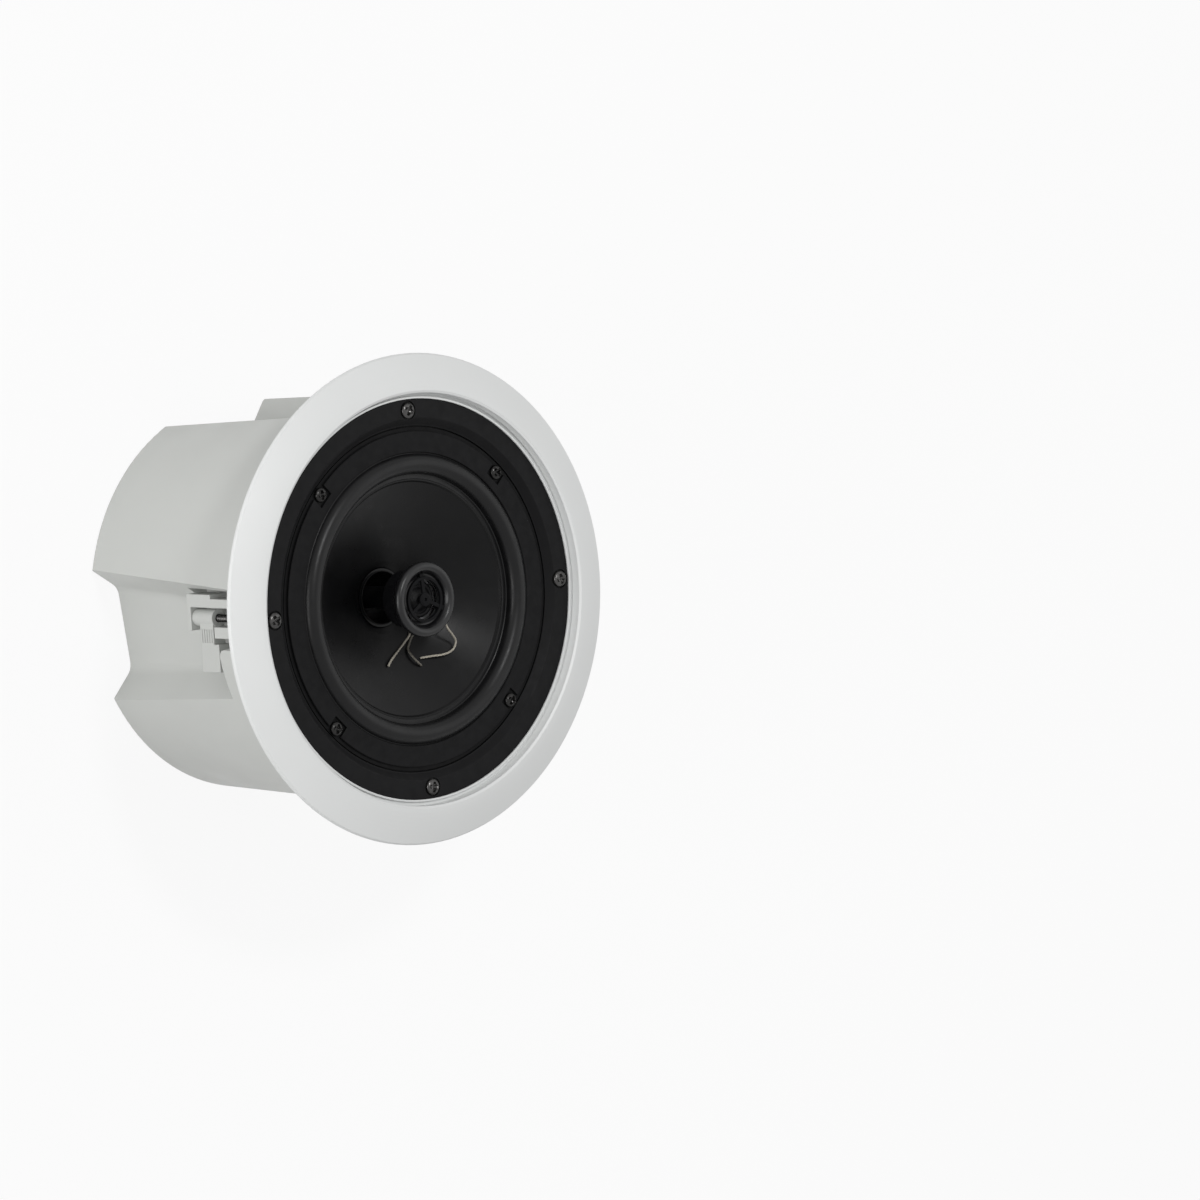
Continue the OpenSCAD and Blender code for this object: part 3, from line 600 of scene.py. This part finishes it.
class LOUDSPEAKER_OT_stage(Operator):
    """Sets the camera, the lamps, the even light and the pale floor"""

    bl_idname = "loudspeaker.stage"
    bl_label = "Studio"

    # Where each lamp stands from the middle of the can, in metres to the right, up and towards
    # the camera, and its width
    key_place, key_size = Vector((-1.2, -0.25, 1.7)), 1.2
    top_place, top_size = Vector((0.96, 0.8, 1.85)), 0.34
    side_place, side_size = Vector((1.1, 0.25, 0.2)), 0.9
    # The floor's half width, its depth below the can's closed end, and its glow to the camera
    floor_half, floor_drop, floor_glow = 6.0, 0.4 * MM, 0.9

    def execute(self, context):
        studio = context.scene.loudspeaker_studio
        turn = Euler(studio.camera_turn, "XYZ")
        self.camera(context, studio, turn)
        axes = turn.to_matrix()
        self.lamp("key_lamp", axes @ self.key_place, self.key_size, studio.key_power)
        self.lamp("top_lamp", axes @ self.top_place, self.top_size, studio.top_power)
        self.lamp("side_lamp", axes @ self.side_place, self.side_size, studio.side_power)
        self.sky(context, studio.sky)
        self.floor()
        context.scene.view_settings.view_transform = "Standard"
        return {"FINISHED"}

    def camera(self, context, studio, turn):
        data = bpy.data.cameras.new("photo_camera")
        data.lens = studio.focal_length
        data.sensor_width = 36.0
        data.clip_end = 20.0
        camera = bpy.data.objects.new("photo_camera", data)
        camera.location = studio.camera_place
        camera.rotation_euler = turn
        context.scene.collection.objects.link(camera)
        context.scene.camera = camera

    def lamp(self, name, offset, size, power):
        data = bpy.data.lights.new(name, "AREA")
        data.shape = "DISK"
        data.size = size
        data.energy = power
        lamp = bpy.data.objects.new(name, data)
        lamp.location = Vector((0, 0, CEILING_Z / 2)) + offset
        lamp.rotation_euler = offset.to_track_quat("Z", "Y").to_euler()
        bpy.context.scene.collection.objects.link(lamp)

    def sky(self, context, strength):
        world = bpy.data.worlds.new("even_light")
        world.use_nodes = True
        tree = world.node_tree
        background = tree.nodes["Background"]
        background.inputs["Color"].default_value = (1, 1, 1, 1)
        seen = self.seen_directly(tree)
        level = tree.nodes.new("ShaderNodeMapRange")
        level.inputs["To Min"].default_value = strength
        level.inputs["To Max"].default_value = 1.0
        tree.links.new(seen, level.inputs["Value"])
        tree.links.new(level.outputs["Result"], background.inputs["Strength"])
        context.scene.world = world

    def seen_directly(self, tree):
        """1 where a camera, mirror-like or see-through ray meets the background, else 0."""
        rays = tree.nodes.new("ShaderNodeLightPath")
        total = rays.outputs["Is Camera Ray"]
        for name in ("Is Glossy Ray", "Is Transmission Ray"):
            both = tree.nodes.new("ShaderNodeMath")
            both.operation = "MAXIMUM"
            tree.links.new(total, both.inputs[0])
            tree.links.new(rays.outputs[name], both.inputs[1])
            total = both.outputs[0]
        return total

    def floor(self):
        bm = bmesh.new()
        bmesh.ops.create_grid(bm, x_segments=1, y_segments=1, size=self.floor_half)
        bmesh.ops.translate(bm, verts=bm.verts, vec=(0, 0, -self.floor_drop))
        floor = piece("floor", None, bm=bm)
        material = bpy.data.materials.new("pale_floor")
        material.use_nodes = True
        tree = material.node_tree
        shader = tree.nodes["Principled BSDF"]
        shader.inputs["Base Color"].default_value = (0.75, 0.75, 0.75, 1)
        shader.inputs["Roughness"].default_value = 0.9
        shader.inputs["Specular IOR Level"].default_value = 0.1
        glow = tree.nodes.new("ShaderNodeEmission")
        mix = tree.nodes.new("ShaderNodeMixShader")
        share = tree.nodes.new("ShaderNodeMath")
        share.operation = "MULTIPLY"
        share.inputs[1].default_value = self.floor_glow
        tree.links.new(self.seen_directly(tree), share.inputs[0])
        tree.links.new(share.outputs[0], mix.inputs[0])
        tree.links.new(shader.outputs[0], mix.inputs[1])
        tree.links.new(glow.outputs[0], mix.inputs[2])
        tree.links.new(mix.outputs[0], tree.nodes["Material Output"].inputs["Surface"])
        floor.data.materials.append(material)


class LOUDSPEAKER_OT_housing(Operator):
    """Finishes the flange, the back can, the black ring and the clamp arms"""

    bl_idname = "loudspeaker.housing"
    bl_label = "Housing"

    # Depth below the ceiling face from which the flange's back and towers take the can's darker white:
    # painted shade
    shaded_white_depth = 1.0 * MM

    def execute(self, context):
        colours = context.scene.loudspeaker_colours
        flange = moulded_white("flange_plastic", colours.flange_white)
        # The flange's back and towers are the same white plastic as its face; the darker white under the
        # ceiling face is painted shade
        flange.change_below(CEILING_Z - self.shaded_white_depth, colours.can_white)
        shade_nodes(flange, "bezel_flange")
        shade_nodes(moulded_white("can_plastic", colours.can_white), "back_can")
        arms = [f"clamp_dog_{k + 1}" for k in range(CLAMP_COUNT)]
        shade_nodes(moulded_white("arm_nylon", colours.can_white), *arms)
        shade_nodes(moulded_black("ring_plastic", colours.ring_black), "baffle_ring")
        shade_nodes(black_rubber("grommet_rubber", colours.rubber_black), "cable_grommet")
        return {"FINISHED"}


class LOUDSPEAKER_OT_driver(Operator):
    """Finishes the driver's frame, gasket, cone and motor"""

    bl_idname = "loudspeaker.driver"
    bl_label = "Driver"

    def execute(self, context):
        colours = context.scene.loudspeaker_colours
        shade_nodes(coated_steel("frame_coating", colours.frame_black), "driver_frame")
        gasket = moulded_black("gasket_foam", colours.rubber_black, gloss=0.6)
        shade_nodes(gasket, "driver_gasket")
        shade_nodes(pressed_cone("cone_plastic", colours.cone_black), "cone")
        iron = plated_steel("motor_iron", MOTOR_IRON, roughness=0.4)
        iron.turned_rings(per_metre=1400.0, depth=0.01 * MM)
        shade_nodes(iron, "top_plate", "pole_yoke", "tweeter_yoke", "tweeter_plate", "tweeter_magnet")
        shade_nodes(plain_part("magnet_ferrite", FERRITE, roughness=0.7), "magnet")
        shade_nodes(moulded_black("former_black", FORMER_BLACK), "coil_former")
        copper = wound_wire("coil_copper", COPPER, per_metre=3300.0)
        shade_nodes(copper, "voice_coil", "tweeter_coil")
        shade_nodes(plain_part("strip_board", STRIP_BROWN, roughness=0.6), "terminal_strip")
        return {"FINISHED"}


class LOUDSPEAKER_OT_surround(Operator):
    """Makes the half-roll surround and the spider between the frame and the cone"""

    bl_idname = "loudspeaker.surround"
    bl_label = "Surround and spider"

    # Radii of the spider: its glued inner edge, its first and last wave and its flat rim
    spider_inner, first_wave, last_wave, rim_start = 13.4 * MM, 15 * MM, 38 * MM, 39 * MM
    wave_length, wave_height = 4.6 * MM, 1.4 * MM
    cloth_thickness = 0.5 * MM

    def execute(self, context):
        scene = context.scene
        colours, sizes = scene.loudspeaker_colours, scene.loudspeaker_sizes
        rubber = black_rubber("surround_rubber", colours.rubber_black)
        outline, reach = self.roll_outline(sizes), (sizes.roll_outer, sizes.roll_inner)
        self.sectors("surround", outline, sizes.sectors, reach, rubber, "black_rubber")
        cloth = Finish("spider_cloth", CLOTH_TAN, roughness=0.7)
        cloth.weave(per_metre=1500.0, depth=0.06 * MM).mottle(CLOTH_BROWN, scale=90.0, amount=0.7)
        outline, reach = self.spider_outline(), (self.last_wave, self.first_wave)
        self.sectors("spider", outline, sizes.sectors, reach, cloth, "spider_cloth")
        return {"FINISHED"}

    def roll_outline(self, sizes):
        """Section of the half-roll: the glued rim, the roll, the cone's edge and back underneath."""
        rim_outer, rim_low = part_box("surround")[1].x, CEILING_Z - 0.3 * MM
        rim_high, rim_inner = rim_low + 0.4 * MM, rim_outer - 1.4 * MM
        lip_low = CEILING_Z - 2.95 * MM
        lip_high = lip_low + 0.45 * MM
        lip_inner = sizes.roll_inner - 3.0 * MM
        lip_bevel = lip_inner + 0.4 * MM
        foot_out = Vector((sizes.roll_outer, CEILING_Z - 0.1 * MM))
        foot_in = Vector((sizes.roll_inner, CEILING_Z - 2.7 * MM))
        middle, across = (foot_out + foot_in) / 2, foot_out - foot_in
        tilt = math.atan2(across.y, across.x)
        skin = sizes.roll_sheet / 2
        top_r, under_r = across.length / 2 + skin, across.length / 2 - skin
        # Angles that the arcs stop short of the flat parts by, which leaves room for the fillets
        rim_gap, lip_gap, under_gap = 0.04, 0.12, 0.05

        def on_arc(radius, first, last, steps=26):
            angles = [first + (last - first) * i / steps for i in range(steps + 1)]
            return [middle + radius * Vector((math.cos(a), math.sin(a))) for a in angles]

        top_first = tilt + math.asin((rim_high - foot_out.y) / top_r) + rim_gap
        outline = [Vector((rim_outer, rim_low)), Vector((rim_outer, rim_high))]
        outline += [Vector((rim_inner, rim_high))]
        outline += on_arc(top_r, top_first, tilt + math.pi - lip_gap)
        outline += [Vector((sizes.roll_inner - 0.9 * MM, lip_high)), Vector((lip_bevel, lip_high))]
        outline += [Vector((lip_inner, lip_low)), Vector((sizes.roll_inner + 0.2 * MM, lip_low))]
        outline += on_arc(under_r, tilt + math.pi - under_gap, tilt + under_gap)
        return outline + [Vector((sizes.roll_outer - 0.35 * MM, rim_low))]

    def spider_outline(self):
        """Section of the corrugated disc between the coil former and the frame's ledge."""
        low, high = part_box("spider")
        sheet, ledge = self.cloth_thickness, low.z + 0.1 * MM
        middle = (low.z + high.z) / 2 - sheet / 2
        steps, fade = 96, 2 * MM

        def height(r):
            swing = self.wave_height * min(1, max(0, (self.last_wave - r) / fade))
            return middle + swing * math.sin((r - self.first_wave) * math.tau / self.wave_length)

        width = self.last_wave - self.spider_inner
        radii = [self.spider_inner + width * i / steps for i in range(steps + 1)]
        under = [Vector((r, height(r))) for r in radii]
        rim = [(self.rim_start, ledge), (high.x, ledge), (high.x, ledge + sheet)]
        rim += [(self.rim_start, ledge + sheet)]
        above = [p + Vector((0, sheet)) for p in reversed(under)]
        return under + [Vector(p) for p in rim] + above

    def sectors(self, node, outline, count, reach, finish, slot, segments=8):
        """Turns a section into sectors round the axis, each a piece in place of the node. The reach is
        not used.
        """
        sweep = math.tau / count
        for k in range(count):
            first = k * sweep
            mesh = lathe(f"{node}_{k + 1:02d}", outline, segments, first, sweep)
            part = piece(f"{node}_{k + 1:02d}", None, (node,), mesh=mesh)
            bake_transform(part)
            shade(part, finish)


class LOUDSPEAKER_OT_leads(Operator):
    """Makes the twisted lead wires of the voice coil and the tweeter"""

    bl_idname = "loudspeaker.leads"
    bl_label = "Lead wires"

    # Routes in the driver's own plane, with heights from the ceiling face, in millimetres
    coil_route_1 = [
        (9.7, -11.6, -26.2), (11.4, -13.8, -23.8), (12.4, -16.2, -22.2), (12.4, -18.6, -21.1),
        (10.8, -20.6, -20.6), (8.5, -22.1, -20.1), (5.9, -23.7, -19.3), (-0.4, -27.0, -17.2),
        (-5.6, -30.0, -15.4), (-7.6, -31.8, -15.0), (-8.1, -32.6, -15.2),
    ]
    coil_route_2 = [
        (11.4, -9.9, -26.0), (13.6, -12.6, -23.5), (15.0, -15.8, -21.4), (14.4, -18.8, -20.3),
        (12.4, -20.7, -20.0), (9.9, -23.4, -19.1), (7.8, -26.1, -17.9), (7.9, -28.9, -15.9),
        (9.3, -31.8, -14.2), (11.2, -33.9, -13.6), (12.2, -34.8, -13.9),
    ]
    tweeter_route = [
        (12.1, -7.3, -3.4), (14.4, -8.7, -3.6), (17.4, -10.6, -4.2), (20.8, -13.2, -4.6),
        (23.4, -17.2, -5.3), (27.2, -20.8, -6.4), (29.9, -24.2, -7.4), (29.4, -27.8, -8.6),
        (26.7, -29.8, -9.8), (22.7, -30.5, -11.2), (18.9, -30.6, -12.8), (16.0, -30.8, -14.0),
        (12.8, -31.0, -15.1),
    ]
    tinsel_route = [
        (0, -34.0, -16.6), (0, -37.5, -19.4), (0, -43.0, -24.0), (0, -49.0, -27.6),
        (0, -55.0, -29.0), (0, -61.0, -27.8), (0, -65.0, -26.6), (0, -67.5, -26.6),
    ]
    # Place of the tweeter route's widest bend, and how far towards it the lead has joined the cone
    widest_bend, joined_share = 6, 0.8
    strands, twist_pitch, twist_share = 3, 5.5 * MM, 1.05
    # Share of the braid's colour given to the second coil lead: painted shade where it lies in the
    # tweeter's shadow
    lead_2_painted_shade = 0.35

    def execute(self, context):
        scene = context.scene
        strand = scene.loudspeaker_sizes.strand
        colour = scene.loudspeaker_colours.braid
        braid = tinned_braid("lead_braid", colour)
        # The second coil lead gets a darker copy of the same braid: painted shade
        shaded_braid = tinned_braid("braid_painted_shade", times(colour, self.lead_2_painted_shade))
        for number, route, finish in ((1, self.coil_route_1, braid), (2, self.coil_route_2, shaded_braid)):
            part = self.lead(f"coil_lead_wire_{number}", route, strand, f"coil_lead_{number}", finish)
            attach(part, "cone_assembly")
        part = self.lead("tweeter_lead_wire", self.tweeter_route, strand, "tweeter_lead", braid)
        start = self.place(self.tweeter_route[0])
        end = start.lerp(self.place(self.tweeter_route[self.widest_bend]), self.joined_share)
        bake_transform(part)
        aside = Vector((abs(sum(c.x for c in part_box("tinsel_lead_2")) / 2), 0, 0))
        for number, side in ((1, -1), (2, 1)):
            name, node = f"tinsel_lead_wire_{number}", f"tinsel_lead_{number}"
            part = self.lead(name, self.tinsel_route, strand, node, braid, aside * side)
            start, end = self.place(self.tinsel_route[-1]), self.place(self.tinsel_route[0])
            start.z = end.z = 0
            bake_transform(part)
        return {"FINISHED"}

    def place(self, point):
        return Vector(point) * MM + Vector((0, 0, CEILING_Z))

    def lead(self, name, route, strand, node, finish, aside=Vector()):
        points = [self.place(p) + aside for p in route]
        bm = twisted_lead(points, self.strands, strand, strand * self.twist_share, self.twist_pitch)
        part = piece(name, None, (node,), bm=bm)
        shade(part, finish)
        return part


class LOUDSPEAKER_OT_tweeter(Operator):
    """Finishes the tweeter, its dome, its guard and its post"""

    bl_idname = "loudspeaker.tweeter"
    bl_label = "Tweeter"

    def execute(self, context):
        colours = context.scene.loudspeaker_colours
        black = colours.tweeter_black
        shade_nodes(moulded_black("cup_plastic", black, gloss=0.4, specular=0.15), "tweeter_cup")
        bezel = moulded_black("bezel_plastic", black, gloss=0.32, specular=0.34)
        shade_nodes(bezel, "tweeter_bezel")
        shade_nodes(moulded_black("guard_plastic", black, specular=0.06), "dome_guard")
        shade_nodes(coated_steel("post_anodising", black), "tweeter_post")
        silk = Finish("dome_silk", DOME_BLACK, roughness=0.38, specular=0.12)
        shade_nodes(silk.weave(per_metre=2400.0, depth=0.02 * MM), "tweeter_dome")
        return {"FINISHED"}


class LOUDSPEAKER_OT_screws(Operator):
    """Makes the black clamp and driver screws with recesses and threads, and finishes the inner ones"""

    bl_idname = "loudspeaker.screws"
    bl_label = "Screws"

    # How far the driver has turned each screw's cross, in degrees
    clamp_turns = (12, 63, 31, 80)
    driver_turns = (40, 8, 71, 55)
    # Height of the head, radius over the thread and pitch
    clamp_height, clamp_crest, clamp_pitch = 2.4 * MM, 2.0 * MM, 1.4 * MM
    driver_height, driver_crest, driver_pitch = 2.3 * MM, 1.6 * MM, 1.3 * MM
    driver_head = 3.6 * MM
    # Angle of the first driver screw, half-way between two clamps
    driver_start = 45
    # Share of the clamp screws' black given to the driver screws: painted shade of the notches they sit
    # in
    driver_painted_shade = 0.4

    def execute(self, context):
        colours = context.scene.loudspeaker_colours
        plating = plated_steel("screw_plating", colours.screw_steel)
        shade_nodes(plating, "can_screws", "inner_screws")
        self.clamp_screws(black_zinc("black_zinc_plating", colours.screw_black))
        # The driver screws get a darker copy of the same black zinc: painted shade
        shaded_screw_black = times(colours.screw_black, self.driver_painted_shade)
        self.driver_screws(black_zinc("zinc_plating_painted_shade", shaded_screw_black))
        return {"FINISHED"}

    def clamp_screws(self, finish):
        low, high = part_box("clamp_screw_1")
        head, height = (high.y - low.y) / 2, self.clamp_height
        length = high.z - height - low.z
        screw = screw_mesh("clamp_screw", head, height, self.clamp_crest, self.clamp_pitch, length)
        for k, turn in enumerate(self.clamp_turns):
            name = f"clamp_screw_{k + 1}"
            low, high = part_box(name)
            seat = Vector(((low.x + high.x) / 2, (low.y + high.y) / 2, high.z - height))
            self.drive(f"{name}_turned", screw, seat, turn, f"{name}_body", name, finish)

    def driver_screws(self, finish):
        low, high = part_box("driver_screws")
        head, height = self.driver_head, self.driver_height
        reach = math.hypot(high.x - head, high.y - head)
        seat_z = high.z - height
        length = seat_z - low.z
        screw = screw_mesh("driver_screw", head, height, self.driver_crest, self.driver_pitch, length)
        for k, turn in enumerate(self.driver_turns):
            a = math.radians(self.driver_start + 90 * k)
            seat = Vector((reach * math.cos(a), reach * math.sin(a), seat_z))
            self.drive(f"driver_screw_{k + 1}", screw, seat, turn, "housing", "driver_screws", finish)

    def drive(self, name, screw, seat, turn, body, node, finish):
        mesh = screw.copy()
        mesh.transform(Matrix.Translation(seat) @ Matrix.Rotation(math.radians(turn), 4, "Z"))
        shade(piece(name, body, (node,), mesh=mesh), finish)


class LOUDSPEAKER_OT_electrics(Operator):
    """Finishes the transformer, the crossover board and the lining inside the can"""

    bl_idname = "loudspeaker.electrics"
    bl_label = "Electrics"

    def execute(self, context):
        laminated = plain_part("core_varnish", CORE_VARNISH, roughness=0.45)
        layers = laminated.sine_of(laminated.parts_of_place()[0], per_metre=2000.0)
        shade_nodes(laminated.relief(layers, depth=0.05 * MM), "transformer_core")
        tape = plain_part("winding_tape", TAPE_YELLOW, roughness=0.35)
        shade_nodes(tape, "transformer_winding")
        shade_nodes(plated_steel("bracket_plating", BRACKET_STEEL), "transformer_bracket")
        shade_nodes(plain_part("board_mask", BOARD_GREEN, roughness=0.3), "crossover_board")
        sleeve = plain_part("capacitor_sleeve", SLEEVE_BLUE, roughness=0.3)
        shade_nodes(sleeve, "crossover_capacitor")
        shade_nodes(wound_wire("inductor_copper", COPPER, per_metre=1600.0), "crossover_coil")
        shade_nodes(plain_part("terminal_nylon", TERMINAL_IVORY, roughness=0.4), "input_terminal")
        foam = plain_part("lining_foam", LINING_GREY, roughness=0.9, grain=500.0)
        shade_nodes(foam, "acoustic_foam")
        return {"FINISHED"}


STEPS = (
    LOUDSPEAKER_OT_stage, LOUDSPEAKER_OT_housing, LOUDSPEAKER_OT_driver, LOUDSPEAKER_OT_surround,
    LOUDSPEAKER_OT_leads, LOUDSPEAKER_OT_tweeter, LOUDSPEAKER_OT_screws, LOUDSPEAKER_OT_electrics,
)


class LOUDSPEAKER_PT_steps(Panel):
    """Lists the steps that dress the loudspeaker"""

    bl_idname = "LOUDSPEAKER_PT_steps"
    bl_label = "Loudspeaker"
    bl_space_type = "VIEW_3D"
    bl_region_type = "UI"
    bl_category = "Loudspeaker"

    def draw(self, context):
        for step in STEPS:
            self.layout.operator(step.bl_idname)


GROUPS = {
    "loudspeaker_colours": LoudspeakerColours,
    "loudspeaker_sizes": LoudspeakerSizes,
    "loudspeaker_studio": LoudspeakerStudio,
}


def register():
    for group in GROUPS.values():
        bpy.utils.register_class(group)
    for name, group in GROUPS.items():
        setattr(bpy.types.Scene, name, PointerProperty(type=group))
    for step in STEPS:
        bpy.utils.register_class(step)
    bpy.utils.register_class(LOUDSPEAKER_PT_steps)


def unregister():
    bpy.utils.unregister_class(LOUDSPEAKER_PT_steps)
    for step in reversed(STEPS):
        bpy.utils.unregister_class(step)
    for name in GROUPS:
        delattr(bpy.types.Scene, name)
    for group in reversed(GROUPS.values()):
        bpy.utils.unregister_class(group)


def main():
    register()
    for step in STEPS:
        namespace, name = step.bl_idname.split(".")
        getattr(getattr(bpy.ops, namespace), name)()


if __name__ == "__main__":
    main()
